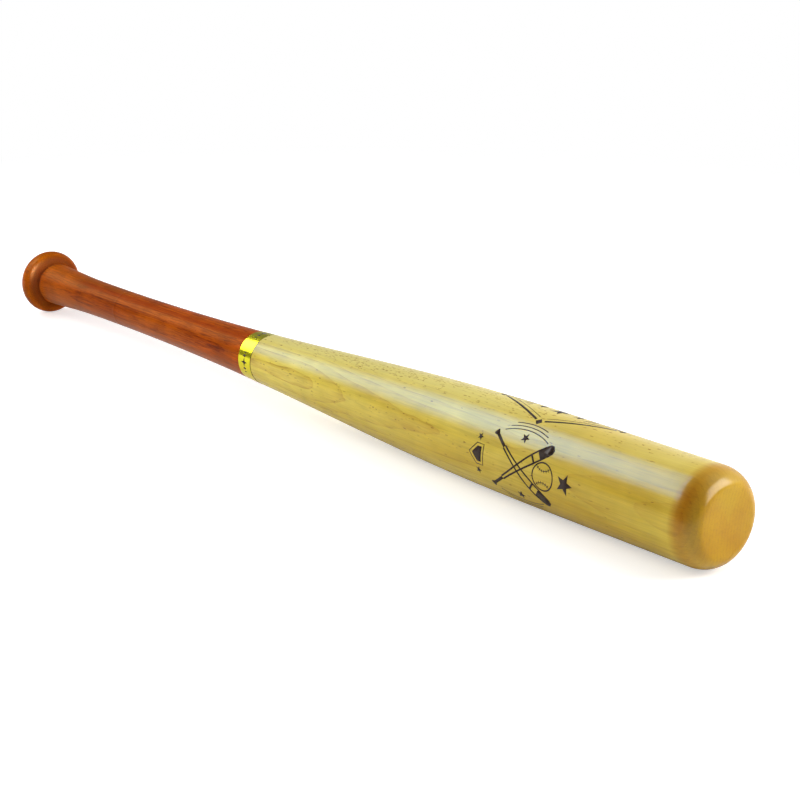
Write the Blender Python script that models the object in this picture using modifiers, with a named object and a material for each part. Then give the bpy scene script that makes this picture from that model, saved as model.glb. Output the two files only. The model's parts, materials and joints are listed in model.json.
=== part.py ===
"""Wooden baseball bat, lying on its knob and its barrel.

The bat is one turned billet of hardwood with a thin gold band let into its taper.
Stations are measured along the billet's axis from the back of the knob. Lengths are
in metres, the long side is along X with the knob at -X, and Z is up.
"""

import math

import bmesh
import bpy

# Billet, overall
OVERALL_LENGTH = 0.740

# Knob, with a flat back and a rounding on each side of its rim
KNOB_DIAMETER = 0.050
KNOB_BACK_FLAT_DIAMETER = 0.036
KNOB_BACK_ROUND = 0.0095
KNOB_FRONT_ROUND = 0.0085

# Narrow cove between the knob and the handle
COVE_WIDTH = 0.002
COVE_DEPTH = 0.0015

# Handle, from the foot of its flare to the thinnest place of the grip
FLARE_FOOT_DIAMETER = 0.033
FLARE_LENGTH = 0.107
FLARE_FOOT_SLOPE = 0.044
FLARE_EASE_AT_FOOT = 0.42
FLARE_EASE_AT_GRIP = 0.60
GRIP_DIAMETER = 0.0274

# Long taper from the grip to the straight barrel
TAPER_EASE_AT_GRIP = 0.485
TAPER_EASE_AT_BARREL = 0.355

# Straight barrel, its rounded shoulder and its flat end
BARREL_DIAMETER = 0.058
BARREL_STRAIGHT_LENGTH = 0.116
SHOULDER_ROUND = 0.014
END_FLAT_DIAMETER = 0.038

# Gold band, flush in a shallow seat that is turned into the taper
BAND_START = 0.308
BAND_WIDTH = 0.015
BAND_THICKNESS = 0.0005
BAND_CLEARANCE = 0.0003

# Facets around the axis and along each stretch of the profile
TURNED_STEPS = 48
ROUND_SEGMENTS = 8
COVE_SEGMENTS = 6
FLARE_SEGMENTS = 9
TAPER_SEGMENTS = 22
BAND_SEGMENTS = 2

# Finish
STAINED_WOOD = (0.40, 0.080, 0.006, 1.0)
NATURAL_WOOD = (0.70, 0.50, 0.135, 1.0)
WOOD_ROUGHNESS = 0.32
GOLD = (0.93, 0.80, 0.12, 1.0)
GOLD_ROUGHNESS = 0.22

MERGE_DISTANCE = 0.00001


def elliptic_arc(centre, reach, rise, first_degrees, last_degrees, segments):
    """Points (station, radius) along part of an ellipse."""
    points = []
    for index in range(segments + 1):
        share = index / segments
        angle = math.radians(first_degrees + (last_degrees - first_degrees) * share)
        station = centre[0] + reach * math.cos(angle)
        radius = centre[1] + rise * math.sin(angle)
        points.append((station, radius))
    return points


def bezier(start, lead_out, lead_in, end, segments):
    """Points (station, radius) along a cubic curve."""
    points = []
    for index in range(segments + 1):
        t = index / segments
        weights = ((1 - t) ** 3, 3 * t * (1 - t) ** 2, 3 * t ** 2 * (1 - t), t ** 3)
        controls = (start, lead_out, lead_in, end)
        station = sum(w * point[0] for w, point in zip(weights, controls))
        radius = sum(w * point[1] for w, point in zip(weights, controls))
        points.append((station, radius))
    return points


def knob_outline():
    """Rim of the flat back, over the widest ring, down to the foot of the knob."""
    back_flat = KNOB_BACK_FLAT_DIAMETER / 2
    rim = KNOB_DIAMETER / 2
    foot = FLARE_FOOT_DIAMETER / 2
    back = elliptic_arc((KNOB_BACK_ROUND, back_flat), KNOB_BACK_ROUND, rim - back_flat,
                        180, 90, ROUND_SEGMENTS)
    front = elliptic_arc((KNOB_BACK_ROUND, foot), KNOB_FRONT_ROUND, rim - foot,
                         90, 0, ROUND_SEGMENTS)
    return back + front[1:]


def cove_outline(start):
    """Round-bottomed groove between the knob and the flare."""
    centre = (start + COVE_WIDTH / 2, FLARE_FOOT_DIAMETER / 2)
    return elliptic_arc(centre, COVE_WIDTH / 2, COVE_DEPTH, 180, 360, COVE_SEGMENTS)


def flare_outline(start):
    """Hollow curve from the foot of the flare to the thinnest place of the grip."""
    foot = (start, FLARE_FOOT_DIAMETER / 2)
    grip = (start + FLARE_LENGTH, GRIP_DIAMETER / 2)
    foot_lead = FLARE_LENGTH * FLARE_EASE_AT_FOOT
    grip_lead = FLARE_LENGTH * FLARE_EASE_AT_GRIP
    lead_out = (foot[0] + foot_lead, foot[1] - FLARE_FOOT_SLOPE * foot_lead)
    lead_in = (grip[0] - grip_lead, grip[1])
    return bezier(foot, lead_out, lead_in, grip, FLARE_SEGMENTS)


def taper_outline(start):
    """S-shaped swell from the grip to the straight barrel."""
    grip = (start, GRIP_DIAMETER / 2)
    barrel_start = OVERALL_LENGTH - SHOULDER_ROUND - BARREL_STRAIGHT_LENGTH
    barrel = (barrel_start, BARREL_DIAMETER / 2)
    length = barrel[0] - grip[0]
    lead_out = (grip[0] + length * TAPER_EASE_AT_GRIP, grip[1])
    lead_in = (barrel[0] - length * TAPER_EASE_AT_BARREL, barrel[1])
    return bezier(grip, lead_out, lead_in, barrel, TAPER_SEGMENTS)


def shoulder_outline():
    """Rounding from the straight barrel to the rim of the flat end."""
    end_flat = END_FLAT_DIAMETER / 2
    centre = (OVERALL_LENGTH - SHOULDER_ROUND, end_flat)
    return elliptic_arc(centre, SHOULDER_ROUND, BARREL_DIAMETER / 2 - end_flat,
                        90, 0, ROUND_SEGMENTS)


def bat_outline():
    """Whole outer line of the billet, from the rim of the back to the rim of the end."""
    outline = knob_outline()
    outline += cove_outline(outline[-1][0])[1:]
    outline += flare_outline(outline[-1][0])[1:]
    outline += taper_outline(outline[-1][0])[1:]
    outline += shoulder_outline()
    return outline


def radius_at(outline, station):
    """Radius of the outline at one station."""
    for (near, near_radius), (far, far_radius) in zip(outline, outline[1:]):
        if near <= station <= far and far > near:
            share = (station - near) / (far - near)
            return near_radius + (far_radius - near_radius) * share
    raise ValueError("station lies outside the billet")


def follow(outline, start, end, depth, segments):
    """Line that runs a given depth under the outline, from one station to another."""
    stations = [start + (end - start) * index / segments for index in range(segments + 1)]
    return [(station, radius_at(outline, station) - depth) for station in stations]


def outline_with_seat(outline):
    """Outline with the band's seat turned into it."""
    seat_start = BAND_START - BAND_CLEARANCE
    seat_end = BAND_START + BAND_WIDTH + BAND_CLEARANCE
    depth = BAND_THICKNESS + BAND_CLEARANCE
    before = [point for point in outline if point[0] < seat_start]
    after = [point for point in outline if point[0] > seat_end]
    floor = follow(outline, seat_start, seat_end, depth, BAND_SEGMENTS)
    edge_near = (seat_start, radius_at(outline, seat_start))
    edge_far = (seat_end, radius_at(outline, seat_end))
    return before + [edge_near] + floor + [edge_far] + after


def resting_tilt(outline, reach):
    """Angle between the axis and the ground when the bat lies on knob and barrel.

    reach is how much of a ring's radius the middle of a facet reaches.
    """
    rim_radius = KNOB_DIAMETER / 2
    return max(
        math.atan2(reach * (radius - rim_radius), station - KNOB_BACK_ROUND)
        for station, radius in outline
        if station > KNOB_BACK_ROUND
    )


def resting_place(outline, tilt, reach):
    """Where the back of the knob goes, for an origin under the middle of the bat."""
    across = [radius * reach * math.sin(tilt) for _, radius in outline]
    down = [radius * reach * math.cos(tilt) for _, radius in outline]
    along = [station * math.cos(tilt) for station, _ in outline]
    lift = [station * math.sin(tilt) for station, _ in outline]
    nearest = min(x - half for x, half in zip(along, across))
    farthest = max(x + half for x, half in zip(along, across))
    lowest = min(z - half for z, half in zip(lift, down))
    return (-(nearest + farthest) / 2, 0.0, -lowest)


def turned(name, profile, closed, material, collection, axis):
    """Object made by turning a profile, given from the barrel's side to the knob's."""
    mesh = bpy.data.meshes.new(name)
    shape = bmesh.new()
    verts = [shape.verts.new((radius, 0.0, station)) for station, radius in profile]
    for near, far in zip(verts, verts[1:]):
        shape.edges.new((near, far))
    if closed:
        shape.edges.new((verts[-1], verts[0]))
    shape.to_mesh(mesh)
    shape.free()
    mesh.materials.append(material)

    piece = bpy.data.objects.new(name, mesh)
    collection.objects.link(piece)
    piece.parent = axis
    piece.rotation_euler.z = math.pi / TURNED_STEPS

    screw = piece.modifiers.new("Turn", 'SCREW')
    screw.axis = 'Z'
    screw.steps = TURNED_STEPS
    screw.render_steps = TURNED_STEPS
    screw.use_smooth_shade = True
    screw.use_merge_vertices = True
    screw.merge_threshold = MERGE_DISTANCE
    return piece


def make_billet(outline, material, collection, axis):
    """Turned billet, closed by the flat end and the flat back of the knob."""
    seated = outline_with_seat(outline)
    end_centre = (OVERALL_LENGTH, 0.0)
    back_centre = (0.0, 0.0)
    profile = [end_centre] + seated[::-1] + [back_centre]
    return turned("billet", profile, False, material, collection, axis)


def make_gold_band(outline, material, collection, axis):
    """Thin ring that lies flush in its seat and follows the taper."""
    end = BAND_START + BAND_WIDTH
    outside = follow(outline, BAND_START, end, 0.0, BAND_SEGMENTS)
    inside = follow(outline, BAND_START, end, BAND_THICKNESS, BAND_SEGMENTS)
    profile = outside[::-1] + inside
    return turned("gold_band", profile, True, material, collection, axis)


def principled(name, colour, roughness, metallic):
    """Plain material and its shader node."""
    material = bpy.data.materials.new(name)
    material.use_nodes = True
    material.diffuse_color = colour
    shader = material.node_tree.nodes["Principled BSDF"]
    shader.inputs["Base Color"].default_value = colour
    shader.inputs["Roughness"].default_value = roughness
    shader.inputs["Metallic"].default_value = metallic
    return material, shader


def lacquered_wood():
    """Natural wood, stained on the handle's side of the band."""
    material, shader = principled("lacquered_wood", NATURAL_WOOD, WOOD_ROUGHNESS, 0.0)
    nodes = material.node_tree.nodes
    links = material.node_tree.links
    place = nodes.new("ShaderNodeTexCoord")
    split = nodes.new("ShaderNodeSeparateXYZ")
    links.new(place.outputs["Object"], split.inputs["Vector"])
    barrel_side = nodes.new("ShaderNodeMath")
    barrel_side.operation = 'GREATER_THAN'
    barrel_side.inputs[1].default_value = BAND_START + BAND_WIDTH / 2
    links.new(split.outputs["Z"], barrel_side.inputs[0])
    colour = nodes.new("ShaderNodeMix")
    colour.data_type = 'RGBA'
    stained = next(socket for socket in colour.inputs if socket.identifier == "A_Color")
    natural = next(socket for socket in colour.inputs if socket.identifier == "B_Color")
    mixed = next(socket for socket in colour.outputs if socket.identifier == "Result_Color")
    stained.default_value = STAINED_WOOD
    natural.default_value = NATURAL_WOOD
    links.new(barrel_side.outputs["Value"], colour.inputs["Factor"])
    links.new(mixed, shader.inputs["Base Color"])
    return material


def clear_scene():
    for item in list(bpy.data.objects):
        bpy.data.objects.remove(item, do_unlink=True)


def main():
    clear_scene()
    collection = bpy.data.collections.new("wooden_baseball_bat")
    bpy.context.scene.collection.children.link(collection)

    outline = bat_outline()
    reach = math.cos(math.pi / TURNED_STEPS)
    tilt = resting_tilt(outline, reach)

    axis = bpy.data.objects.new("bat_axis", None)
    collection.objects.link(axis)
    axis.rotation_euler.y = math.pi / 2 - tilt
    axis.location = resting_place(outline, tilt, reach)

    wood = lacquered_wood()
    gold, _ = principled("gold_foil", GOLD, GOLD_ROUGHNESS, 1.0)
    make_billet(outline, wood, collection, axis)
    make_gold_band(outline, gold, collection, axis)


main()
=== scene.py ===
"""Looks of a turned wooden baseball bat: stained handle, gold foil band, printed barrel.

A spot on the bat is given by its station, in millimetres along the axis from the back of
the knob, its radius in millimetres, and its angle round the axis in degrees, where 0 faces
the near side (-Y) and 90 faces up.
"""

import json
import math

import bmesh
import bpy
from mathutils import Matrix, Vector


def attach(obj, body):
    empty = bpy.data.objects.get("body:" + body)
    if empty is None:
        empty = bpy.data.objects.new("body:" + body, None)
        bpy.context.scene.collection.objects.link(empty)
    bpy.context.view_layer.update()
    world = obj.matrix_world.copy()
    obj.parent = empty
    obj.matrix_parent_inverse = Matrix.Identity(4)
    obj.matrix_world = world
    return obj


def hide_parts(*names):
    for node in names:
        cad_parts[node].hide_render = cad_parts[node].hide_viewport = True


MM = 0.001

# Profile, repeated from the solids in millimetres along and away from the axis
KNOB_RADIUS = 25.0
KNOB_BACK_FLAT_RADIUS = 18.0
KNOB_BACK_ROUND = 9.5
KNOB_FRONT_ROUND = 8.5
COVE_WIDTH = 2.0
COVE_DEPTH = 1.5
FOOT_RADIUS = 16.5
FOOT_SLOPE = 0.044
FLARE_LENGTH = 107.0
FLARE_EASES = (0.42, 0.60)
GRIP_RADIUS = 13.7
TAPER_EASES = (0.485, 0.355)
BARREL_RADIUS = 29.0
BARREL_STRAIGHT_LENGTH = 116.0
SHOULDER_ROUND = 14.0
END_FLAT_RADIUS = 19.0
BAND_START = 308.0
BAND_WIDTH = 15.0

# The solids rest on the flats between their facets, and the round pieces stay inside them
INSIDE = 0.9969

ROUND_STEPS = 192
FOIL_THICKNESS = 0.10
FOIL_LIFT = 0.02
FOIL_LAP_DEGREES = 9.0
FOIL_LAP_ANGLE = 150.0
FOIL_STEPS = 360
FOIL_ROWS = 12

# Ink film, and the steps in which a drawing bends round the bat and along it
INK_LIFT = 0.015
INK_THICKNESS = 0.02
INK_STEP_ROUND = 1.3
INK_STEP_ALONG = 9.0
EMBLEM_STATION = 607.0
EMBLEM_ANGLE = 4.0
TOP_STATION = 607.0
TOP_ANGLE = 102.0

# Camera, from the photograph's perspective
CAMERA_PLACE = (0.96449, -0.70358, 0.37623)
CAMERA_HEADING = 51.0023
CAMERA_PITCH = 17.1094
CAMERA_LENS = 82.636

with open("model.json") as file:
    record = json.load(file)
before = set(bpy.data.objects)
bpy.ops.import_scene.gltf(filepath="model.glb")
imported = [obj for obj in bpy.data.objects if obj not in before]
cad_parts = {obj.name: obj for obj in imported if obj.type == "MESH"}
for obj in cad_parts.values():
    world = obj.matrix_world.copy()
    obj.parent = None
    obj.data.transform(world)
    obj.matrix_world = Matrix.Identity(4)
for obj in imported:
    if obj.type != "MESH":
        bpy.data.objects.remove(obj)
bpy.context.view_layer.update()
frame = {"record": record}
mounts = {mount["name"]: mount for mount in frame["record"]["mounts"]}
back = Vector(mounts["knob_back"]["pos_m"])
end = Vector(mounts["barrel_end"]["pos_m"])
LENGTH = (end - back).length / MM


def bat_frame():
    """Matrix from the bat's own frame, in metres, to the model's."""
    along = (end - back).normalized()
    far = Vector((0, 0, 1)).cross(along).normalized()
    up = along.cross(far)
    turn = Matrix((along, far, up)).transposed().to_4x4()
    return Matrix.Translation(back) @ turn


def elliptic_arc(centre, reach, rise, first, last, segments):
    points = []
    for index in range(segments + 1):
        angle = math.radians(first + (last - first) * index / segments)
        points.append((centre[0] + reach * math.cos(angle), centre[1] + rise * math.sin(angle)))
    return points


def bezier(start, lead_out, lead_in, finish, segments):
    points = []
    for index in range(segments + 1):
        t = index / segments
        weights = ((1 - t) ** 3, 3 * t * (1 - t) ** 2, 3 * t ** 2 * (1 - t), t ** 3)
        controls = (start, lead_out, lead_in, finish)
        points.append(tuple(sum(w * c[axis] for w, c in zip(weights, controls)) for axis in (0, 1)))
    return points


def bat_outline():
    """Outer line of the billet: (station, radius) in millimetres."""
    line = elliptic_arc((KNOB_BACK_ROUND, KNOB_BACK_FLAT_RADIUS), KNOB_BACK_ROUND,
                        KNOB_RADIUS - KNOB_BACK_FLAT_RADIUS, 180, 90, 20)
    line += elliptic_arc((KNOB_BACK_ROUND, FOOT_RADIUS), KNOB_FRONT_ROUND,
                         KNOB_RADIUS - FOOT_RADIUS, 90, 0, 22)[1:]
    start = line[-1][0]
    line += elliptic_arc((start + COVE_WIDTH / 2, FOOT_RADIUS), COVE_WIDTH / 2,
                         COVE_DEPTH, 180, 360, 12)[1:]
    foot = line[-1]
    grip = (foot[0] + FLARE_LENGTH, GRIP_RADIUS)
    lead = FLARE_LENGTH * FLARE_EASES[0]
    line += bezier(foot, (foot[0] + lead, foot[1] - FOOT_SLOPE * lead),
                   (grip[0] - FLARE_LENGTH * FLARE_EASES[1], grip[1]), grip, 40)[1:]
    barrel = (LENGTH - SHOULDER_ROUND - BARREL_STRAIGHT_LENGTH, BARREL_RADIUS)
    taper = barrel[0] - grip[0]
    line += bezier(grip, (grip[0] + taper * TAPER_EASES[0], grip[1]),
                   (barrel[0] - taper * TAPER_EASES[1], barrel[1]), barrel, 120)[1:]
    straight = 10
    line += [(barrel[0] + BARREL_STRAIGHT_LENGTH * index / straight, BARREL_RADIUS)
             for index in range(1, straight)]
    line += elliptic_arc((LENGTH - SHOULDER_ROUND, END_FLAT_RADIUS), SHOULDER_ROUND,
                         BARREL_RADIUS - END_FLAT_RADIUS, 90, 0, 26)
    return line


OUTLINE = bat_outline()
BAT = bat_frame()


def radius_at(station):
    """Radius of the billet in millimetres at one station."""
    for (near, near_radius), (far, far_radius) in zip(OUTLINE, OUTLINE[1:]):
        if near <= station <= far and far > near:
            return near_radius + (far_radius - near_radius) * (station - near) / (far - near)
    raise ValueError("station lies outside the billet")


def spot(station, radius, angle):
    """Place of a spot on the bat, in the model's frame."""
    turn = math.radians(angle)
    return BAT @ (Vector((station, -radius * math.cos(turn), radius * math.sin(turn))) * MM)


def add_piece(name, mesh, material):
    """Makes a mesh a piece of the bat, which it rides with."""
    mesh.materials.append(material)
    piece = bpy.data.objects.new(name, mesh)
    bpy.context.scene.collection.objects.link(piece)
    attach(piece, "root")
    return piece


def turned_mesh(name, line):
    """Closed surface of revolution with a flat face at either end."""
    mesh = bpy.data.meshes.new(name)
    shape = bmesh.new()
    rings = []
    for station, radius in line:
        rings.append([shape.verts.new(spot(station, radius * INSIDE, 360.0 * step / ROUND_STEPS))
                      for step in range(ROUND_STEPS)])
    for near, far in zip(rings, rings[1:]):
        for step in range(ROUND_STEPS):
            after = (step + 1) % ROUND_STEPS
            shape.faces.new((near[step], near[after], far[after], far[step]))
    for face in (shape.faces.new(rings[0][::-1]), shape.faces.new(rings[-1])):
        for edge in face.edges:
            edge.smooth = False
    bmesh.ops.recalc_face_normals(shape, faces=shape.faces)
    for face in shape.faces:
        face.smooth = True
    shape.to_mesh(mesh)
    shape.free()
    return mesh


def cut(first, last):
    """Stretch of the outline between two stations, in millimetres."""
    line = [point for point in OUTLINE if first < point[0] < last]
    if first > 0:
        line.insert(0, (first, radius_at(first)))
    else:
        line.insert(0, OUTLINE[0])
    if last < LENGTH:
        line.append((last, radius_at(last)))
    else:
        line.append(OUTLINE[-1])
    return line


class Nodes:
    """Short way to write a node tree."""

    def __init__(self, owner):
        owner.use_nodes = True
        self.nodes = owner.node_tree.nodes
        self.links = owner.node_tree.links

    def feed(self, socket, value):
        if isinstance(value, bpy.types.NodeSocket):
            self.links.new(value, socket)
        else:
            socket.default_value = value

    def node(self, kind, inputs=None, **settings):
        made = self.nodes.new(kind)
        for key, value in settings.items():
            setattr(made, key, value)
        for key, value in (inputs or {}).items():
            self.feed(made.inputs[key], value)
        return made

    def math(self, operation, first, second=0.5, third=0.5):
        made = self.node("ShaderNodeMath", {0: first, 1: second, 2: third}, operation=operation)
        return made.outputs[0]

    def part(self, vector, axis):
        """One coordinate of a vector."""
        return self.node("ShaderNodeSeparateXYZ", {"Vector": vector}).outputs[axis]


class Surface(Nodes):
    """Node tree of a material on the bat."""

    def __init__(self, material):
        super().__init__(material)
        self.shader = self.nodes["Principled BSDF"]

    def bat_place(self):
        """Place on the bat in millimetres: X along its axis from the knob, Z up."""
        place = self.node("ShaderNodeTexCoord").outputs["Object"]
        from_back = self.vector('SUBTRACT', place, tuple(back))
        tilt = math.atan2((end - back).z, (end - back).x)
        level = self.node("ShaderNodeVectorRotate", {"Vector": from_back, "Angle": tilt},
                          rotation_type='Y_AXIS')
        return self.vector('MULTIPLY', level.outputs["Vector"], (1 / MM, 1 / MM, 1 / MM))

    def vector(self, operation, first, second=(0.0, 0.0, 0.0)):
        made = self.node("ShaderNodeVectorMath", {0: first, 1: second}, operation=operation)
        return made.outputs["Value" if operation == "LENGTH" else "Vector"]

    def noise(self, place, cells, detail=2.0, roughness=0.5, colour=False):
        """Noise with so many cells a millimetre on each axis."""
        scaled = self.vector('MULTIPLY', place, cells)
        made = self.node("ShaderNodeTexNoise", {"Vector": scaled, "Scale": 1.0, "Detail": detail,
                                                "Roughness": roughness})
        return made.outputs["Color" if colour else "Fac"]

    def push(self, place, cells, reach, detail, roughness):
        """Noise that moves a place to either side, by up to half the reach."""
        noise = self.noise(place, cells, detail, roughness, colour=True)
        return self.vector('MULTIPLY', self.vector('SUBTRACT', noise, (0.5, 0.5, 0.5)), reach)

    def ramp(self, factor, stops, interpolation='LINEAR'):
        """Value by value: stops are (factor, value)."""
        made = self.node("ShaderNodeValToRGB", {"Fac": factor})
        made.color_ramp.interpolation = interpolation
        elements = made.color_ramp.elements
        while len(elements) < len(stops):
            elements.new(0.5)
        for element, (place, value) in zip(elements, stops):
            element.position = place
            element.color = (value, value, value, 1.0)
        return made.outputs["Color"]

    def along(self, run, stops, interpolation='LINEAR'):
        """Value by station: stops are (millimetres from the knob's back, value)."""
        return self.ramp(run, [(at / LENGTH, value) for at, value in stops], interpolation)

    def mix(self, factor, first, second, blend='MIX'):
        made = self.node("ShaderNodeMix", data_type='RGBA', blend_type=blend)
        named = {socket.identifier: socket for socket in made.inputs}
        self.feed(named["Factor_Float"], factor)
        self.feed(named["A_Color"], first)
        self.feed(named["B_Color"], second)
        return next(socket for socket in made.outputs if socket.identifier == "Result_Color")


# Growth rings: the tree's centre lies far behind the flat face of the grain
PITH_DISTANCE = 90.0
RING_WIDTH = 2.4
FINE_LINES = 3.0

# Angle at which the flat face of the grain looks
GRAIN_FACING = 9.0

# Course of one ring's line: station, degrees between it and the flat face, and the millimetres by
# which it clears the surface
GRAIN_LINE = ((1.0, 0.0, 1.6), (30.0, 0.0, 0.9), (56.0, 2.0, 0.0), (75.0, 16.0, 0.0),
              (96.0, 24.0, 0.0), (150.0, 24.0, 0.0), (217.0, 23.0, 0.0), (260.0, 15.0, 0.0),
              (306.0, 8.0, 0.0), (325.0, 11.0, 0.0), (350.0, 14.0, 0.0), (375.0, 14.0, 0.0),
              (390.0, 8.0, 0.0), (397.0, 0.0, 0.0), (437.0, 0.0, 2.4), (500.0, 0.0, 4.4),
              (600.0, 0.0, 6.4), (739.0, 0.0, 7.0))

# Greatest depth of that ring: the ramp along the bat holds shares of it
GRAIN_DEPTH_MOST = 40.0

# Roughness of wholly dull lacquer, as in the cove
DULL = 0.7

# Cells a millimetre of the noises in the wood, along the bat and across it
WANDER_CELLS = (0.012, 0.05, 0.05)
PATCH_CELLS = (0.010, 0.045, 0.045)
FIBRE_CELLS = (0.028, 1.1, 1.1)
FIGURE_CELLS = (0.06, 0.03, 0.03)
RUFFLE_CELLS = (0.25, 1.3, 1.3)
CLUSTER_CELLS = (0.02, 0.10, 0.10)
PORE_CELLS = (0.30, 0.95, 0.95)

# Millimetres by which the rings wander and the pores' rows are ruffled, and the depth of a pore
WANDER_REACH = (0.0, 1.5, 1.5)
RUFFLE_REACH = (5.0, 0.9, 0.9)
PORE_DEPTH = 0.06

# Share of the long grain by station: less where the lathe cut across it
SIDE_GRAIN = ((17.0, 0.8), (21.0, 1.0), (734.0, 1.0), (740.0, 0.6))

# Millimetres before the end at which the flat end's colour begins and is full
FACE_FADE = (4.0, 1.5)

# Looks of the two halves. Lists by run go from 0 at the knob to 1 at the end, lists by station are
# in millimetres, and heights go from 0 on the underside to 1 on top. The zone is painted shade: the
# brown ring before the barrel's end, and the cove beside the knob, where stain also gathers. By
# station: change, shade_and_stain_zone_share, painted_light_and_shade and dull_share. By run:
# line_strength, upper_share and pore_run.
NATURAL = {
    "near_pale": (0.845, 0.69, 0.120, 1.0),
    "near_deep": (0.76, 0.575, 0.060, 1.0),
    "far_pale": (0.69, 0.510, 0.060, 1.0),
    "far_deep": (0.60, 0.392, 0.027, 1.0),
    # The far colours are deeper towards the end: partly the wood's own amber, partly painted shade
    "change": (320.0, 735.0),
    "change_lead": 0.0,
    "line": (0.46, 0.23, 0.02, 1.0),
    "line_broken": 0.40,
    "fine_line": 0.16,
    "pore": (0.26, 0.115, 0.014, 1.0),
    "ring": [(0.0, 1.0), (0.04, 0.7), (0.14, 0.42), (0.45, 0.18), (0.95, 0.0), (1.0, 0.2)],
    "line_strength": [(0.0, 0.80), (0.60, 0.80), (0.80, 0.55), (0.95, 0.45), (0.998, 0.45), (1.0, 1.0)],
    "fibre": (0.88, 1.09),
    "streak": 0.92,
    "streak_cells": (0.016, 0.55, 0.55),
    "figure": (0.93, 1.05),
    # Painted floor bounce, left out on the barrel, whose share is 0
    "under": (0.60, 0.46, 0.06, 1.0),
    "under_share": 0.0,
    # Painted light: the barrel's top is paler and yellower
    "upper": (0.73, 0.65, 0.22, 1.0),
    "upper_height": [(0.90, 0.0), (0.98, 1.0)],
    "upper_share": [(0.42, 0.8), (0.72, 0.70), (0.86, 0.35), (0.96, 0.50), (0.985, 0.2)],
    # Painted shade: a brown zone on the shoulder before the barrel's flat end
    "shade_and_stain_zone_tone": (0.62, 0.34, 0.01, 1.0),
    "shade_and_stain_zone_share": [(722.5, 0.0), (727.0, 0.75), (730.0, 1.0), (733.0, 0.95), (736.0, 0.75),
                   (738.0, 0.3), (739.2, 0.0)],
    "shade_and_stain_zone_height": [(0.25, 0.6), (0.60, 1.0), (0.80, 1.0), (0.98, 0.75)],
    "face_tone": (0.79, 0.60, 0.06, 1.0),
    "painted_light_and_shade": [(0.0, 1.0), (740.0, 1.0)],
    "dull_share": [(0.0, 0.0), (1.0, 0.0)],
    "pore_size": 0.29,
    "pore_rows": [(0.0, 1.0), (0.4, 0.9), (0.7, 0.5), (1.0, 0.8)],
    "pore_sides": [(0.0, 0.25), (0.22, 0.25), (0.34, 0.04), (0.74, 0.06), (0.88, 1.0)],
    "pore_run": [(0.40, 1.0), (0.72, 0.8), (0.84, 0.35), (0.97, 0.25), (0.99, 0.0)],
    "pore_strength": 0.9,
    "roughness": 0.20,
    "gloss": 0.35,
    "bump": 0.12,
}

STAINED = {
    "near_pale": (0.46, 0.108, 0.002, 1.0),
    "near_deep": (0.38, 0.070, 0.001, 1.0),
    "far_pale": (0.52, 0.110, 0.002, 1.0),
    "far_deep": (0.42, 0.070, 0.001, 1.0),
    "change": (52.0, 78.0),
    "change_lead": 30.0,
    "line": (0.14, 0.012, 0.0004, 1.0),
    "line_broken": 0.35,
    "fine_line": 0.45,
    "pore": (0.10, 0.008, 0.0005, 1.0),
    "ring": [(0.0, 1.0), (0.06, 0.95), (0.16, 0.6), (0.35, 0.35), (0.6, 0.12), (0.95, 0.0), (1.0, 0.3)],
    "line_strength": [(0.0, 0.10), (0.075, 0.20), (0.11, 0.80), (0.18, 0.92), (0.30, 0.80), (1.0, 0.80)],
    "fibre": (0.74, 1.20),
    "streak": 0.62,
    "streak_cells": (0.06, 1.7, 1.7),
    "figure": (0.82, 1.18),
    # Painted reflection and bounce of the floor: the handle's underside is paler and pinker
    "under": (0.42, 0.145, 0.055, 1.0),
    "under_share": 0.7,
    # A darker stripe along the handle above its middle
    "upper": (0.32, 0.040, 0.0006, 1.0),
    "upper_height": [(0.86, 0.0), (0.91, 1.0), (0.95, 1.0), (0.985, 0.0)],
    "upper_share": [(0.09, 0.0), (0.12, 0.6), (0.42, 0.6)],
    # Painted shade in the cove beside the knob, where stain also gathers
    "shade_and_stain_zone_tone": (0.42, 0.34, 0.3, 1.0),
    "shade_and_stain_zone_share": [(16.5, 0.0), (17.5, 0.9), (18.0, 1.0), (19.3, 1.0), (20.2, 0.3), (22.0, 0.0)],
    "shade_and_stain_zone_height": [(0.0, 1.0), (1.0, 1.0)],
    "face_tone": (1.0, 1.0, 1.0, 1.0),
    # Painted light and shade by station: the knob's back and rim and the handle about a tenth darker, the
    # knob's front up to 1.6 times lighter near the cove
    "painted_light_and_shade": [(0.0, 0.92), (11.5, 0.92), (14.0, 1.1), (16.0, 1.6), (17.2, 1.3), (18.0, 1.0),
             (21.0, 0.92), (60.0, 0.92), (86.0, 0.88), (130.0, 0.90), (160.0, 1.0)],
    "dull_share": [(16.6, 0.0), (17.6, 1.0), (20.5, 1.0), (24.0, 0.20), (60.0, 0.15),
                   (115.0, 0.12), (160.0, 0.0)],
    "pore_size": 0.17,
    "pore_rows": [(0.0, 0.9), (0.30, 0.5), (0.6, 0.2), (1.0, 0.5)],
    "pore_sides": [(0.0, 0.3), (0.5, 0.5), (0.9, 0.9)],
    "pore_run": [(0.0, 1.0), (1.0, 1.0)],
    "pore_strength": 0.7,
    "roughness": 0.24,
    "gloss": 0.05,
    "bump": 0.25,
}


def grain_depth(station, angle, extra):
    """Distance of a spot on or above the surface from the ring through the bat's axis."""
    radius = radius_at(station)
    turn = math.radians(angle)
    from_pith = math.hypot(PITH_DISTANCE + radius * math.cos(turn), radius * math.sin(turn))
    return from_pith - PITH_DISTANCE + extra


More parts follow.
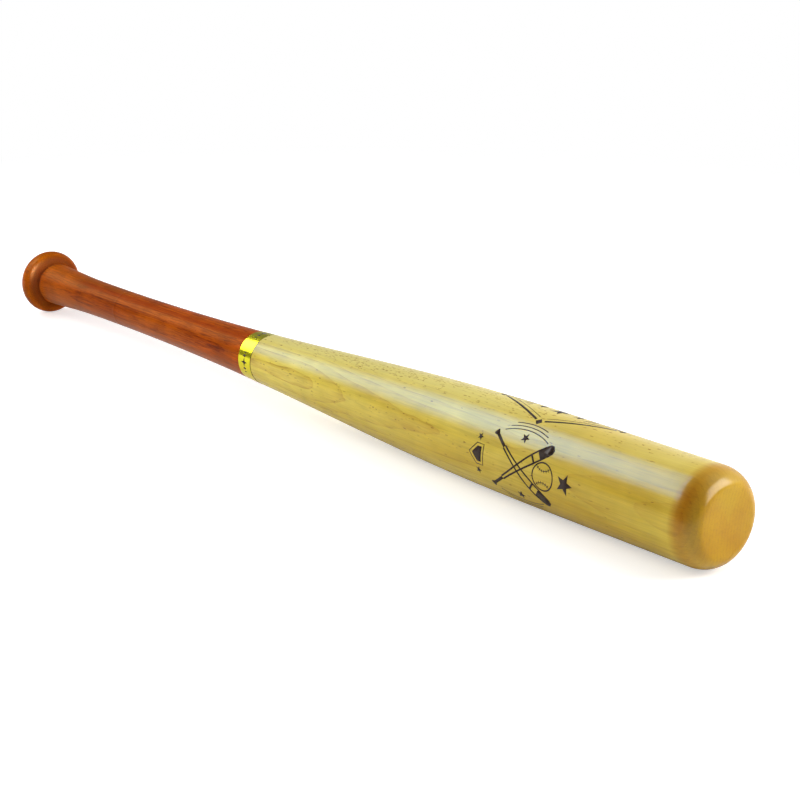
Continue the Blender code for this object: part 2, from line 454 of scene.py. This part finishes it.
def ring_count(tree, grown, run):
    """Number of the growth ring at a place, with its fraction."""
    from_pith = tree.vector('ADD', grown, (0.0, -PITH_DISTANCE, 0.0))
    across = tree.vector('MULTIPLY', from_pith, (0.0, 1.0, 1.0))
    depth = tree.math('SUBTRACT', tree.vector('LENGTH', across), PITH_DISTANCE)
    sunk = tree.along(run, [(at, grain_depth(at, angle, extra) / GRAIN_DEPTH_MOST)
                            for at, angle, extra in GRAIN_LINE])
    sunk = tree.math('MULTIPLY', sunk, GRAIN_DEPTH_MOST)
    return tree.math('DIVIDE', tree.math('SUBTRACT', depth, sunk), RING_WIDTH)


def wood_palette(tree, look, place, run, count):
    """Pale and deep patches, which change from the knob's half to the barrel's."""
    patch = tree.ramp(tree.noise(place, PATCH_CELLS, 3.0), [(0.34, 0.0), (0.66, 1.0)])
    near_colour = tree.mix(patch, look["near_pale"], look["near_deep"])
    far_colour = tree.mix(patch, look["far_pale"], look["far_deep"])
    lead = tree.math('MULTIPLY', count, look["change_lead"] / LENGTH)
    # On the barrel the deeper far colours are partly painted shade towards its end
    first, last = look["change"]
    gone = tree.along(tree.math('ADD', run, lead), [(first, 0.0), (last, 1.0)], 'EASE')
    return tree.mix(gone, near_colour, far_colour)


def with_rings(tree, look, colour, grown, run, count, side_grain):
    """Line and fading tone of each ring, fine lines between, broken by streaks."""
    ring = tree.ramp(tree.math('FRACT', count), look["ring"])
    fine = tree.math('FRACT', tree.math('MULTIPLY', count, FINE_LINES))
    strength = look["fine_line"]
    fine = tree.ramp(fine, [(0.0, strength), (0.15, 0.6 * strength), (0.5, 0.0)])
    streak = tree.noise(grown, look["streak_cells"], 3.0, 0.6)
    shown = tree.math('MULTIPLY', tree.math('MAXIMUM', ring, fine), tree.ramp(run, look["line_strength"]))
    shown = tree.math('MULTIPLY', shown, tree.ramp(streak, [(0.38, 1.0), (0.60, look["line_broken"])]))
    colour = tree.mix(tree.math('MULTIPLY', shown, side_grain), colour, look["line"])
    streak_tone = tree.ramp(streak, [(0.36, look["streak"]), (0.50, 1.0)])
    return tree.mix(side_grain, colour, streak_tone, 'MULTIPLY')


def with_fibres(tree, look, colour, place, fibre, side_grain):
    """Fine light and dark fibres, and a broad cloudy figure."""
    low, high = look["fibre"]
    fibre_tone = tree.ramp(fibre, [(0.30, low), (0.70, high)])
    colour = tree.mix(side_grain, colour, fibre_tone, 'MULTIPLY')
    low, high = look["figure"]
    figure_tone = tree.ramp(tree.noise(place, FIGURE_CELLS, 2.0), [(0.3, low), (0.7, high)])
    return tree.mix(1.0, colour, figure_tone, 'MULTIPLY')


def with_zones(tree, look, colour, place, run, fibre):
    """Tones of the underside (painted floor bounce), the top, the zone (painted shade), the flat end, then
    painted light and shade by station.
    """
    outward = tree.vector('NORMALIZE', tree.vector('MULTIPLY', place, (0.0, 1.0, 1.0)))
    height = tree.math('MULTIPLY_ADD', tree.part(outward, "Z"), 0.5, 0.5)
    uneven = tree.math('MULTIPLY_ADD', fibre, 0.22, -0.11)
    low = tree.math('ADD', height, uneven)
    # Painted reflection and bounce of the floor: paler towards the underside
    under = tree.ramp(low, [(0.10, look["under_share"]), (0.58, 0.0)], 'EASE')
    under = tree.math('MULTIPLY', under, tree.ramp(run, [(0.03, 0.0), (0.07, 1.0)]))
    colour = tree.mix(under, colour, look["under"])
    # On the barrel a paler top, painted light; on the handle a darker stripe above its middle
    upper = tree.ramp(height, look["upper_height"])
    upper = tree.math('MULTIPLY', upper, tree.ramp(run, look["upper_share"]))
    colour = tree.mix(upper, colour, look["upper"])
    # Zone: painted shade before the barrel's end, and in the knob's cove, where stain also gathers
    share = tree.along(run, look["shade_and_stain_zone_share"])
    share = tree.math('MULTIPLY', share, tree.ramp(height, look["shade_and_stain_zone_height"]))
    colour = tree.mix(share, colour, tree.mix(1.0, colour, look["shade_and_stain_zone_tone"], 'MULTIPLY'))
    first, last = FACE_FADE
    face = tree.along(run, [(LENGTH - first, 0.0), (LENGTH - last, 1.0)])
    colour = tree.mix(face, colour, tree.mix(1.0, colour, look["face_tone"], 'MULTIPLY'))
    # Painted light and shade by station, on the knob and handle
    return tree.mix(1.0, colour, tree.along(run, look["painted_light_and_shade"]), 'MULTIPLY')


def find_pores(tree, look, grain, grown, run, count, side_grain):
    """Short dark pores in rows along the rings, some of them left out by chance."""
    ruffle = tree.push(grain, RUFFLE_CELLS, RUFFLE_REACH, 1.0, 0.5)
    cells = tree.vector('MULTIPLY', tree.vector('ADD', grown, ruffle), PORE_CELLS)
    cells = tree.node("ShaderNodeTexVoronoi", {"Vector": cells, "Scale": 1.0})
    size = look["pore_size"]
    pore = tree.ramp(cells.outputs["Distance"], [(0.0, 1.0), (size, 0.9), (size * 1.7, 0.0)])
    chance = tree.node("ShaderNodeSeparateColor", {"Color": cells.outputs["Color"]}).outputs
    outward = tree.vector('NORMALIZE', tree.vector('MULTIPLY', grain, (0.0, 1.0, 1.0)))
    to_side = tree.math('ABSOLUTE', tree.part(outward, "Z"))
    crowd = tree.ramp(tree.math('FRACT', count), look["pore_rows"])
    crowd = tree.math('MULTIPLY', crowd, tree.ramp(to_side, look["pore_sides"]))
    cluster = tree.noise(grown, CLUSTER_CELLS, 2.0)
    crowd = tree.math('MULTIPLY', crowd, tree.ramp(cluster, [(0.34, 0.15), (0.56, 1.0)]))
    crowd = tree.math('MULTIPLY', crowd, tree.ramp(run, look["pore_run"]))
    kept = tree.math('MULTIPLY', pore, tree.math('GREATER_THAN', crowd, chance[0]))
    kept = tree.math('MULTIPLY', kept, tree.ramp(chance[1], [(0.0, 0.3), (1.0, 1.0)]))
    return tree.math('MULTIPLY', kept, side_grain)


def wood_material(name, look):
    """Growth rings, fibres and pores of one billet, in a natural or a stained palette."""
    material = bpy.data.materials.new(name)
    tree = Surface(material)
    place = tree.bat_place()
    run = tree.math('DIVIDE', tree.part(place, "X"), LENGTH)
    turned = tree.node("ShaderNodeVectorRotate", {"Vector": place, "Angle": math.radians(GRAIN_FACING)},
                       rotation_type='X_AXIS')
    grain = turned.outputs["Vector"]
    grown = tree.vector('ADD', grain, tree.push(grain, WANDER_CELLS, WANDER_REACH, 3.0, 0.6))
    count = ring_count(tree, grown, run)
    side_grain = tree.along(run, SIDE_GRAIN)
    fibre = tree.noise(grown, FIBRE_CELLS, 5.0, 0.62)

    colour = wood_palette(tree, look, place, run, count)
    colour = with_rings(tree, look, colour, grown, run, count, side_grain)
    colour = with_fibres(tree, look, colour, place, fibre, side_grain)
    colour = with_zones(tree, look, colour, place, run, fibre)
    pores = find_pores(tree, look, grain, grown, run, count, side_grain)
    colour = tree.mix(tree.math('MULTIPLY', pores, look["pore_strength"]), colour, look["pore"])

    bump = tree.node("ShaderNodeBump", {"Height": tree.math('SUBTRACT', fibre, pores),
                                        "Strength": look["bump"], "Distance": PORE_DEPTH * MM})
    shine = look["roughness"]
    roughness = tree.math('MULTIPLY_ADD', tree.along(run, look["dull_share"]), DULL - shine, shine)
    tree.feed(tree.shader.inputs["Base Color"], colour)
    tree.feed(tree.shader.inputs["Normal"], bump.outputs["Normal"])
    tree.feed(tree.shader.inputs["Roughness"], roughness)
    tree.shader.inputs["Specular IOR Level"].default_value = look["gloss"]
    return material


# Foil and ink: colours, and cells a millimetre of the foil's drawn marks and the ink's wear
GOLD = (0.97, 0.90, 0.022, 1.0)
FOIL_CELLS = (3.0, 0.15, 0.15)
INK_FULL = (0.020, 0.010, 0.008, 1.0)
INK_WORN = (0.045, 0.024, 0.014, 1.0)
INK_CELLS = (0.5, 1.6, 1.6)


def gold_material():
    material = bpy.data.materials.new("gold_foil")
    tree = Surface(material)
    drawn = tree.noise(tree.bat_place(), FOIL_CELLS, 3.0)
    roughness = tree.ramp(drawn, [(0.3, 0.13), (0.7, 0.20)])
    shader = tree.shader
    shader.inputs["Base Color"].default_value = GOLD
    shader.inputs["Metallic"].default_value = 1.0
    tree.feed(shader.inputs["Roughness"], roughness)
    return material


def ink_material():
    material = bpy.data.materials.new("print_ink")
    tree = Surface(material)
    worn = tree.ramp(tree.noise(tree.bat_place(), INK_CELLS, 3.0), [(0.35, 0.0), (0.70, 1.0)])
    shader = tree.shader
    tree.feed(shader.inputs["Base Color"], tree.mix(worn, INK_FULL, INK_WORN))
    tree.feed(shader.inputs["Roughness"], tree.ramp(worn, [(0.0, 0.40), (1.0, 0.55)]))
    shader.inputs["Specular IOR Level"].default_value = 0.05
    shader.inputs["Coat Weight"].default_value = 0.5
    shader.inputs["Coat Roughness"].default_value = 0.2
    return material


def make_billet(natural, stained):
    middle = BAND_START + BAND_WIDTH / 2
    handle = turned_mesh("handle", cut(0.0, middle))
    barrel = turned_mesh("barrel", cut(middle, LENGTH))
    handle = add_piece("handle_stained", handle, stained)
    barrel = add_piece("barrel_natural", barrel, natural)
    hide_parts("billet")
    return handle, barrel


def make_band(material):
    """Foil strip, wrapped once round the taper with its ends lapped on the far side."""
    mesh = bpy.data.meshes.new("foil")
    shape = bmesh.new()
    stations = [BAND_START + BAND_WIDTH * index / FOIL_ROWS for index in range(FOIL_ROWS + 1)]
    turn = 360.0 + FOIL_LAP_DEGREES
    tops, bottoms = [], []
    for step in range(FOIL_STEPS + 1):
        gone = turn * step / FOIL_STEPS
        lift = FOIL_LIFT + (FOIL_THICKNESS if gone > 360.0 else 0.0)
        lows = [radius_at(station) * INSIDE + lift for station in stations]
        bottoms.append([shape.verts.new(spot(station, low, FOIL_LAP_ANGLE + gone))
                        for station, low in zip(stations, lows)])
        tops.append([shape.verts.new(spot(station, low + FOIL_THICKNESS, FOIL_LAP_ANGLE + gone))
                     for station, low in zip(stations, lows)])
    for step in range(FOIL_STEPS):
        for rows in (tops, bottoms):
            for row in range(FOIL_ROWS):
                shape.faces.new((rows[step][row], rows[step + 1][row],
                                 rows[step + 1][row + 1], rows[step][row + 1]))
        for row in (0, FOIL_ROWS):
            shape.faces.new((tops[step][row], bottoms[step][row],
                             bottoms[step + 1][row], tops[step + 1][row]))
    for step in (0, FOIL_STEPS):
        for row in range(FOIL_ROWS):
            shape.faces.new((tops[step][row], tops[step][row + 1],
                             bottoms[step][row + 1], bottoms[step][row]))
    bmesh.ops.recalc_face_normals(shape, faces=shape.faces)
    shape.to_mesh(mesh)
    shape.free()
    mesh.shade_smooth()
    mesh.set_sharp_from_angle(angle=math.radians(40))
    band = add_piece("foil_band", mesh, material)
    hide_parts("gold_band")
    return band


class Print:
    """Ink drawing in flat millimetres that is wrapped onto the bat.

    A point is (across, along): across goes round the bat, along goes towards the barrel's end.
    """

    def __init__(self, name, station, angle, lift=INK_LIFT):
        self.name = name
        self.station = station
        self.angle = angle
        self.lift = lift
        self.round = math.degrees(1.0 / radius_at(station))
        self.shape = bmesh.new()

    def area(self, points):
        """Filled outline."""
        self.shape.faces.new([self.shape.verts.new((x, y, 0.0)) for x, y in points])

    def stroke(self, points, width, end_width=None, closed=False):
        """Line of the given width through points, tapering to its end width."""
        end_width = width if end_width is None else end_width
        count = len(points)
        sides = []
        for index, (x, y) in enumerate(points):
            before = points[index - 1] if index or closed else points[0]
            after = points[(index + 1) % count] if index < count - 1 or closed else points[-1]
            heading = Vector((after[0] - before[0], after[1] - before[1])).normalized()
            share = index / max(count - 1, 1)
            half = 0.5 * (width + (end_width - width) * share)
            sides.append([self.shape.verts.new((x - heading.y * half, y + heading.x * half, 0.0)),
                          self.shape.verts.new((x + heading.y * half, y - heading.x * half, 0.0))])
        pairs = list(zip(sides, sides[1:])) + ([(sides[-1], sides[0])] if closed else [])
        for first, second in pairs:
            self.shape.faces.new((first[0], first[1], second[1], second[0]))

    def finish(self, material):
        """Wraps the drawing round the bat and gives the ink its thickness."""
        shape = self.shape
        xs = [vertex.co.x for vertex in shape.verts]
        ys = [vertex.co.y for vertex in shape.verts]
        for axis, low, high, step in ((0, min(xs), max(xs), INK_STEP_ROUND),
                                      (1, min(ys), max(ys), INK_STEP_ALONG)):
            normal = (1.0, 0.0, 0.0) if axis == 0 else (0.0, 1.0, 0.0)
            for index in range(1, int((high - low) / step) + 1):
                level = low + index * step
                place = (level, 0.0, 0.0) if axis == 0 else (0.0, level, 0.0)
                everything = shape.verts[:] + shape.edges[:] + shape.faces[:]
                bmesh.ops.bisect_plane(shape, geom=everything, dist=1e-5, plane_co=place, plane_no=normal)
        for vertex in shape.verts:
            station = self.station + vertex.co.y
            radius = radius_at(station) * INSIDE + self.lift
            vertex.co = spot(station, radius, self.angle + vertex.co.x * self.round)
        bmesh.ops.recalc_face_normals(shape, faces=shape.faces)
        mesh = bpy.data.meshes.new(self.name)
        shape.to_mesh(mesh)
        shape.free()
        mesh.shade_smooth()
        piece = add_piece(self.name, mesh, material)
        film = piece.modifiers.new("film", 'SOLIDIFY')
        film.thickness = INK_THICKNESS * MM
        film.offset = 0.0
        return piece


def circle(centre, radius, first=0.0, last=360.0, segments=48):
    points = []
    for index in range(segments + 1):
        turn = math.radians(first + (last - first) * index / segments)
        points.append((centre[0] + radius * math.cos(turn), centre[1] + radius * math.sin(turn)))
    return points


def star(centre, radius, points=5, waist=0.42):
    outline = []
    for index in range(2 * points):
        turn = math.radians(90.0 + 180.0 * index / points)
        reach = radius if index % 2 == 0 else radius * waist
        outline.append((centre[0] + reach * math.cos(turn), centre[1] + reach * math.sin(turn)))
    return outline


def placed(points, angle, centre):
    """Points turned by an angle in degrees and moved to a centre."""
    turn = math.radians(angle)
    cosine, sine = math.cos(turn), math.sin(turn)
    return [(centre[0] + x * cosine - y * sine, centre[1] + x * sine + y * cosine) for x, y in points]


# Half outline of the emblem's bats: (half width, along) in millimetres, and the points between
# which grip and tip are filled in
SMALL_BAT = ((1.7, -29.0), (2.1, -28.3), (1.7, -27.3), (1.0, -26.0), (1.0, -16.0), (1.2, -8.0),
             (1.8, 2.0), (2.5, 11.0), (2.9, 19.0), (2.95, 25.0), (2.6, 28.2), (1.4, 29.6))
SMALL_BAT_GRIP = 5
SMALL_BAT_TIP = 8


def draw_small_bat(ink, lean, centre):
    """A bat that leans by an angle in degrees, with its grip filled in."""
    right = [(half, along) for half, along in SMALL_BAT]
    left = [(-half, along) for half, along in SMALL_BAT]
    ink.stroke(placed(right[SMALL_BAT_GRIP - 1:] + left[SMALL_BAT_GRIP - 1:][::-1], lean, centre), 1.1)
    ink.area(placed(right[:SMALL_BAT_GRIP] + left[:SMALL_BAT_GRIP][::-1], lean, centre))
    ink.area(placed(right[SMALL_BAT_TIP:] + left[SMALL_BAT_TIP:][::-1], lean, centre))
    ink.stroke(placed([(-2.6, 14.0), (2.6, 14.0)], lean, centre), 1.4)


def draw_ball(ink, centre, radius):
    """A ball with its two stitched seams."""
    ink.stroke(circle(centre, radius)[:-1], 0.9, closed=True)
    for side in (-1, 1):
        seam = (centre[0] + side * 1.3 * radius, centre[1])
        middle = 180.0 if side > 0 else 0.0
        ink.stroke(circle(seam, 0.88 * radius, middle - 46.0, middle + 46.0, 20), 0.45)
        for stitch in range(6):
            turn = middle - 36.0 + 72.0 * stitch / 5
            inner = circle(seam, 0.76 * radius, turn, turn, 1)[0]
            outer = circle(seam, 1.0 * radius, turn, turn, 1)[0]
            ink.stroke([inner, outer], 0.45)


def make_emblem(material):
    """Two crossed bats, a ball, a home plate and stars."""
    ink = Print("emblem", EMBLEM_STATION, EMBLEM_ANGLE)
    for lean in (-36.0, 36.0):
        draw_small_bat(ink, lean, (0.0, 0.0))
    draw_ball(ink, (0.0, 21.0), 8.2)
    ink.area(star((0.0, 38.5), 6.6))
    for side in (-1, 1):
        ink.area(star((side * 18.0, 0.0), 3.4))
        ink.area(star((side * 10.5, -34.0), 2.6))
        for row in range(3):
            reach = 44.0 + 2.3 * row
            middle = 0.0 if side > 0 else 180.0
            spread = 24.0 - 4.5 * row
            ink.stroke(circle((side * (23.0 - 44.0), 0.0), reach, middle - spread, middle + spread, 30), 0.6)
    plate = [(-6.4, -29.5), (6.4, -29.5), (6.4, -35.4), (0.0, -41.6), (-6.4, -35.4)]
    inner = [(-4.7, -31.2), (4.7, -31.2), (4.7, -34.7), (0.0, -39.2), (-4.7, -34.7)]
    ink.stroke(plate, 0.7, closed=True)
    ink.area(inner)
    return ink.finish(material)


# Top print: share of a side left free beside each base, and size of the inner line's diamond
BASE_GAP = 0.07
INNER_DIAMOND = 0.84


def make_top_print(material):
    """Playing field's diamond with its four bases, and three stars inside."""
    ink = Print("top_print", TOP_STATION, TOP_ANGLE)
    reach, half = 49.0, 18.5
    corners = [(0.0, -reach), (half, 0.0), (0.0, reach), (-half, 0.0)]
    for first, second in zip(corners, corners[1:] + corners[:1]):
        start = Vector(first).lerp(Vector(second), BASE_GAP)
        finish = Vector(first).lerp(Vector(second), 1.0 - BASE_GAP)
        ink.stroke([tuple(start), tuple(finish)], 1.5)
        start, finish = start * INNER_DIAMOND, finish * INNER_DIAMOND
        ink.stroke([tuple(start), tuple(finish)], 0.4)
    for corner in corners:
        ink.area(placed([(-2.6, 0.0), (0.0, -2.6), (2.6, 0.0), (0.0, 2.6)], 0.0, corner))
    for along, radius in ((-15.0, 3.8), (0.0, 6.6), (15.0, 3.8)):
        ink.area(star((0.0, along), radius))
    for side in (-1, 1):
        for row in range(3):
            along = side * (23.0 + 2.6 * row)
            wide = 5.2 - 1.2 * row
            ink.stroke([(-wide, along), (wide, along)], 0.7)
    return ink.finish(material)


# Line at the band's barrel side: its middle past the foil, and its width
EDGE_OFFSET = 0.35
EDGE_WIDTH = 0.6


def make_band_marks(material):
    """Four groups of marks on the foil, and the thin line at its barrel side."""
    middle = BAND_START + BAND_WIDTH / 2
    on_foil = FOIL_LIFT + FOIL_THICKNESS + INK_LIFT
    marks = []
    for group in range(4):
        ink = Print("band_marks_%d" % (group + 1), middle, 90.0 * group, on_foil)
        ink.area(star((0.0, 0.0), 3.6, 4, 0.32))
        for side in (-1, 1):
            for away, half in ((4.6, 2.1), (7.2, 1.3)):
                small = [(-0.5 * half, 0.0), (0.0, -half), (0.5 * half, 0.0), (0.0, half)]
                ink.area(placed(small, 0.0, (side * away, 0.0)))
        marks.append(ink.finish(material))
    edge = Print("band_edge", BAND_START + BAND_WIDTH + EDGE_OFFSET, 0.0, INK_LIFT)
    around = math.pi * radius_at(BAND_START + BAND_WIDTH)
    edge.stroke([(-around, 0.0), (around, 0.0)], EDGE_WIDTH)
    marks.append(edge.finish(material))
    return marks


WHITE = (1.0, 1.0, 1.0)


def area_light(name, place, aim, size, radiance, colour=WHITE, diffuse=True, gloss=True,
               spread=180.0, pieces=()):
    """Soft box that faces a point and shows at a given brightness; it may light only some pieces."""
    lamp = bpy.data.lights.new(name, 'AREA')
    lamp.shape = 'RECTANGLE'
    lamp.size, lamp.size_y = size
    lamp.energy = radiance * math.pi * size[0] * size[1]
    lamp.color = colour
    lamp.spread = math.radians(spread)
    box = bpy.data.objects.new(name, lamp)
    bpy.context.scene.collection.objects.link(box)
    box.location = place
    box.rotation_euler = (Vector(aim) - Vector(place)).to_track_quat('-Z', 'Y').to_euler()
    box.visible_camera = False
    box.visible_diffuse = diffuse
    box.visible_glossy = gloss
    if pieces:
        lit = bpy.data.collections.new(name)
        for piece in pieces:
            lit.objects.link(piece)
        box.light_linking.receiver_collection = lit
    return box


class Stage(Nodes):
    """Node tree of the world or the floor, begun empty."""

    def __init__(self, owner):
        super().__init__(owner)
        self.nodes.clear()

    def smooth(self, value, low, high):
        """0 at the low value and 1 at the high one, which may be the smaller of the two."""
        made = self.node("ShaderNodeMapRange", {"Value": value, "From Min": low, "From Max": high},
                         interpolation_type='SMOOTHSTEP')
        return made.outputs["Result"]


# Brightness of the world, the floor and the lamps, where 1 shows as white
WORLD_FILL = 0.30
ROOM_GLOSS = 0.25
FLOOR_LIFT = 0.50
SOFT_BOX = 3.7
TOP_BOX = 0.68
HANDLE_SHEEN = 5.8
BAND_SHEEN = 9.0
PRINT_SHEEN = 4.0
BARREL_SHEEN_WIDE = 5.6
BARREL_SHEEN_CORE = 3.4
SIDE_BOX = 11.0
SIDE_BOX_SHEEN = 7.5
KNOB_GLOW = 12.0

# Soft boxes: where each stands, what it faces, and its width and height, in metres
SOFT_PLACE = (-1.40, -0.85, 1.05)
SOFT_AIM = (-0.1, 0.0, 0.0)
SOFT_SIZE = (2.1, 1.5)
TOP_PLACE = (0.50, 0.32, 0.80)
TOP_AIM = (0.31, 0.0, 0.0)
TOP_SIZE = (0.7, 0.5)
SIDE_PLACE = (1.10, 1.04, 0.62)
SIDE_SIZE = (0.85, 0.75)
SIDE_SHEEN_PLACE = (1.49, 0.60, 0.82)
SIDE_SHEEN_SIZE = (1.3, 1.2)
SIDE_AIM = (0.3, 0.0, 0.0)
KNOB_GLOW_PLACE = (0.09, -0.56, 0.57)
KNOB_GLOW_SIZE = (0.70, 0.55)
KNOB_GLOW_COLOUR = (1.0, 0.8, 0.4)

# The boxes of the long highlights: their middle, what they face, the way up in their plane, their
# lean in degrees, and the length and spread that they share
SHEEN_PLACE = Vector((-1.62, -0.62, 1.07))
SHEEN_AIM = Vector((-1.62, 0.0, 0.027))
SHEEN_UP = Vector((0.0, 0.86, 0.51))
SHEEN_LEAN = 10.0
SHEEN_LENGTH = 2.1
SHEEN_SPREAD = 130.0
BARREL_SHEEN_COLOUR = (0.13, 0.50, 1.0)
HANDLE_SHEEN_COLOUR = (1.0, 0.95, 0.42)

# Directions in which gloss sees white paper: how far behind the bat, and how low
PAPER_BEHIND = (0.45, 0.80)
PAPER_LOW = (0.95, 0.45)

# Floor: half its side, its grey, and the distances between which it fades to white
FLOOR_REACH = 12.0
FLOOR_GREY = (0.82, 0.82, 0.82, 1.0)
FLOOR_FADE = (0.55, 1.1)


def make_world():
    """Even fill, white to the camera; gloss sees white paper behind and a darker room elsewhere."""
    world = bpy.data.worlds.new("studio")
    bpy.context.scene.world = world
    tree = Stage(world)
    ray = tree.node("ShaderNodeLightPath").outputs
    place = tree.node("ShaderNodeTexCoord").outputs["Generated"]
    behind = tree.smooth(tree.part(place, "Y"), *PAPER_BEHIND)
    low = tree.smooth(tree.part(place, "Z"), *PAPER_LOW)
    paper = tree.math('MULTIPLY', tree.math('MULTIPLY', behind, low), 1.0 - ROOM_GLOSS)
    gloss = tree.math('ADD', paper, ROOM_GLOSS)
    seen = tree.math('MAXIMUM', ray["Is Camera Ray"], ray["Is Transmission Ray"])
    fill = tree.node("ShaderNodeBackground", {"Strength": WORLD_FILL})
    mirror = tree.node("ShaderNodeBackground", {"Strength": gloss})
    white = tree.node("ShaderNodeBackground", {"Color": (1.0, 1.0, 1.0, 1.0), "Strength": 1.0})
    lit = tree.node("ShaderNodeMixShader",
                    {0: ray["Is Glossy Ray"], 1: fill.outputs[0], 2: mirror.outputs[0]})
    shown = tree.node("ShaderNodeMixShader", {0: seen, 1: lit.outputs[0], 2: white.outputs[0]})
    tree.node("ShaderNodeOutputWorld", {"Surface": shown.outputs[0]})


def make_floor():
    """White paper that keeps the bat's shadow and fades to plain white farther off."""
    floor_mesh = bpy.data.meshes.new("floor")
    shape = bmesh.new()
    bmesh.ops.create_grid(shape, x_segments=1, y_segments=1, size=FLOOR_REACH)
    shape.to_mesh(floor_mesh)
    shape.free()
    floor = bpy.data.objects.new("floor", floor_mesh)
    bpy.context.scene.collection.objects.link(floor)
    paper = bpy.data.materials.new("paper")
    tree = Stage(paper)
    ray = tree.node("ShaderNodeLightPath").outputs
    place = tree.node("ShaderNodeTexCoord").outputs["Object"]
    far = tree.node("ShaderNodeVectorMath", {0: place}, operation='LENGTH').outputs["Value"]
    cover = tree.node("ShaderNodeBsdfDiffuse", {"Color": FLOOR_GREY})
    raised = tree.math('MULTIPLY', ray["Is Camera Ray"], FLOOR_LIFT)
    lift = tree.node("ShaderNodeEmission", {"Strength": raised})
    near_bat = tree.node("ShaderNodeAddShader", {0: cover.outputs[0], 1: lift.outputs[0]})
    white = tree.node("ShaderNodeEmission", {"Strength": 1.0})
    away = tree.math('MULTIPLY', tree.smooth(far, *FLOOR_FADE), ray["Is Camera Ray"])
    shown = tree.node("ShaderNodeMixShader", {0: away, 1: near_bat.outputs[0], 2: white.outputs[0]})
    tree.node("ShaderNodeOutputMaterial", {"Surface": shown.outputs[0]})
    floor_mesh.materials.append(paper)


def make_lamps(handle, band, barrel, prints):
    """Soft lamps; handle, band, barrel and prints are lists of the pieces there."""
    area_light("soft_box", SOFT_PLACE, SOFT_AIM, SOFT_SIZE, SOFT_BOX, gloss=False)
    area_light("top_box", TOP_PLACE, TOP_AIM, TOP_SIZE, TOP_BOX, gloss=False, spread=80.0)
    for name, rise, height, radiance, colour, pieces in (
            ("handle_sheen", -0.05, 0.80, HANDLE_SHEEN, HANDLE_SHEEN_COLOUR, handle),
            ("band_sheen", 0.0, 1.40, BAND_SHEEN, WHITE, band),
            ("print_sheen", 0.07, 1.46, PRINT_SHEEN, WHITE, prints),
            ("barrel_sheen_wide", 0.07, 1.46, BARREL_SHEEN_WIDE, BARREL_SHEEN_COLOUR, barrel),
            ("barrel_sheen_core", 0.0, 0.80, BARREL_SHEEN_CORE, BARREL_SHEEN_COLOUR, barrel)):
        lift = SHEEN_UP * rise
        sheen = area_light(name, SHEEN_PLACE + lift, SHEEN_AIM + lift, (SHEEN_LENGTH, height), radiance,
                           colour, diffuse=False, spread=SHEEN_SPREAD, pieces=pieces)
        sheen.rotation_euler.rotate_axis('Z', math.radians(SHEEN_LEAN))
    area_light("side_box", SIDE_PLACE, SIDE_AIM, SIDE_SIZE, SIDE_BOX, gloss=False)
    area_light("side_box_sheen", SIDE_SHEEN_PLACE, SIDE_AIM, SIDE_SHEEN_SIZE, SIDE_BOX_SHEEN,
               diffuse=False)
    area_light("knob_glow", KNOB_GLOW_PLACE, spot(15.0, 16.0, 45.0), KNOB_GLOW_SIZE, KNOB_GLOW,
               KNOB_GLOW_COLOUR, diffuse=False, spread=60.0, pieces=handle)


def make_camera():
    camera = bpy.data.cameras.new("camera")
    camera.lens = CAMERA_LENS
    camera.sensor_width = 36.0
    camera.clip_start = 0.01
    eye = bpy.data.objects.new("camera", camera)
    bpy.context.scene.collection.objects.link(eye)
    eye.location = CAMERA_PLACE
    eye.rotation_euler = (math.radians(90.0 - CAMERA_PITCH), 0.0, math.radians(CAMERA_HEADING))
    bpy.context.scene.camera = eye


make_camera()
handle, barrel = make_billet(wood_material("natural_wood", NATURAL),
                             wood_material("stained_wood", STAINED))
band = make_band(gold_material())
ink = ink_material()
barrel_prints = [make_emblem(ink), make_top_print(ink)]
band_prints = make_band_marks(ink)
make_world()
make_floor()
make_lamps([handle], [band] + band_prints, [barrel], barrel_prints)

bpy.context.scene.view_settings.view_transform = 'Standard'
